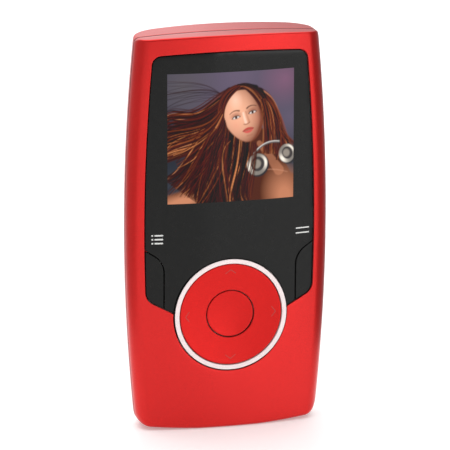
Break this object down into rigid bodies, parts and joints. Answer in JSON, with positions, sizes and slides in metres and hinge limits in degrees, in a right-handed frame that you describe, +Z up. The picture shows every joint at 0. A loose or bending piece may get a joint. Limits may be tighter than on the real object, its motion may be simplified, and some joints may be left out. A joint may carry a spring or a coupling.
{
  "type": "digital audio player",
  "caption": "Pocket digital audio player with a barrel-sided red case, a black window over a colour display, a rocking pad with a centre button and two corner keys.",
  "frame": {"origin": "centre of the case's footprint at the bottom end it stands on", "axes": "+X to the viewer's right, +Y from the front face to the back, +Z up along the case; the front face looks along -Y"},
  "size_m": [0.041, 0.012, 0.0802],
  "materials": {
    "red_metallic": "satin metallic red",
    "red_metallic_back": "satin metallic red",
    "black_window": "glossy, smoke tinted",
    "black_print": "printed black film",
    "black_tape": "foam tape",
    "white_trim": "glossy white",
    "red_pad": "satin red",
    "grey_plastic": "moulded",
    "red_button": "satin red",
    "black_key": "glossy black",
    "silicone": "translucent silicone",
    "clear_film": "polyester film",
    "dome_steel": "stamped",
    "circuit_board": "solder resist",
    "lcd_panel": "display glass",
    "light_guide": "light guide",
    "pressed_steel": "pressed",
    "flex_film": "polyimide film",
    "chip_plastic": "moulded epoxy",
    "ceramic_parts": "ceramic",
    "cell_foil": "pouch foil",
    "red_wire": "insulated",
    "black_wire": "insulated",
    "black_foam": "foam",
    "black_plastic": "moulded",
    "gold_contacts": "plated",
    "dark_knob": "moulded",
    "screw_steel": "zinc plated"
  },
  "bodies": {
    "case": {"front_cover": "red_metallic", "rear_cover": "red_metallic_back", "display_lens": "black_window", "lens_mask": "black_print", "lens_tape": "black_tape", "ring_trim": "white_trim", "key_membrane": "silicone", "dome_sheet": "clear_film", "switch_domes": "dome_steel", "main_board": "circuit_board", "lcd_glass": "lcd_panel", "lcd_backlight": "light_guide", "lcd_frame": "pressed_steel", "lcd_flex": "flex_film", "processor_chip": "chip_plastic", "flash_chip": "chip_plastic", "tuner_chip": "chip_plastic", "power_chip": "chip_plastic", "crystal": "pressed_steel", "chip_parts": "ceramic_parts", "battery_cell": "cell_foil", "battery_circuit": "circuit_board", "battery_lead_red": "red_wire", "battery_lead_black": "black_wire", "battery_pad": "black_foam", "headphone_jack": "black_plastic", "jack_contacts": "gold_contacts", "usb_shell": "pressed_steel", "usb_tongue": "black_plastic", "usb_contacts": "gold_contacts", "hold_switch": "pressed_steel", "board_screws": "screw_steel"},
    "gimbal": {"nav_gimbal": "grey_plastic"},
    "pad": {"nav_pad": "red_pad"},
    "button": {"centre_button": "red_button"},
    "key_left": {"left_key": "black_key"},
    "key_right": {"right_key": "black_key"},
    "slider": {"hold_knob": "dark_knob"}
  },
  "joints": [
    {"name": "pad_up_down", "type": "hinge", "parent": "case", "child": "gimbal", "pos_m": [0, -0.00365, 0.0235], "axis": [1, 0, 0], "range_deg": [-1.2, 1.2], "stiffness_Nm_per_rad": 0.05},
    {"name": "pad_left_right", "type": "hinge", "parent": "gimbal", "child": "pad", "pos_m": [0, -0.00365, 0.0235], "axis": [0, 0, 1], "range_deg": [-1.2, 1.2], "stiffness_Nm_per_rad": 0.05},
    {"name": "centre_press", "type": "slide", "parent": "case", "child": "button", "axis": [0, 1, 0], "range_m": [0, 0.00025], "stiffness_N_per_m": 400, "springref_m": -0.0005},
    {"name": "left_key_press", "type": "slide", "parent": "case", "child": "key_left", "axis": [0, 1, 0], "range_m": [0, 0.00025], "stiffness_N_per_m": 400, "springref_m": -0.0005},
    {"name": "right_key_press", "type": "slide", "parent": "case", "child": "key_right", "axis": [0, 1, 0], "range_m": [0, 0.00025], "stiffness_N_per_m": 400, "springref_m": -0.0005},
    {"name": "hold_slide", "type": "slide", "parent": "case", "child": "slider", "axis": [0, 0, 1], "range_m": [0, 0.002]}
  ]
}
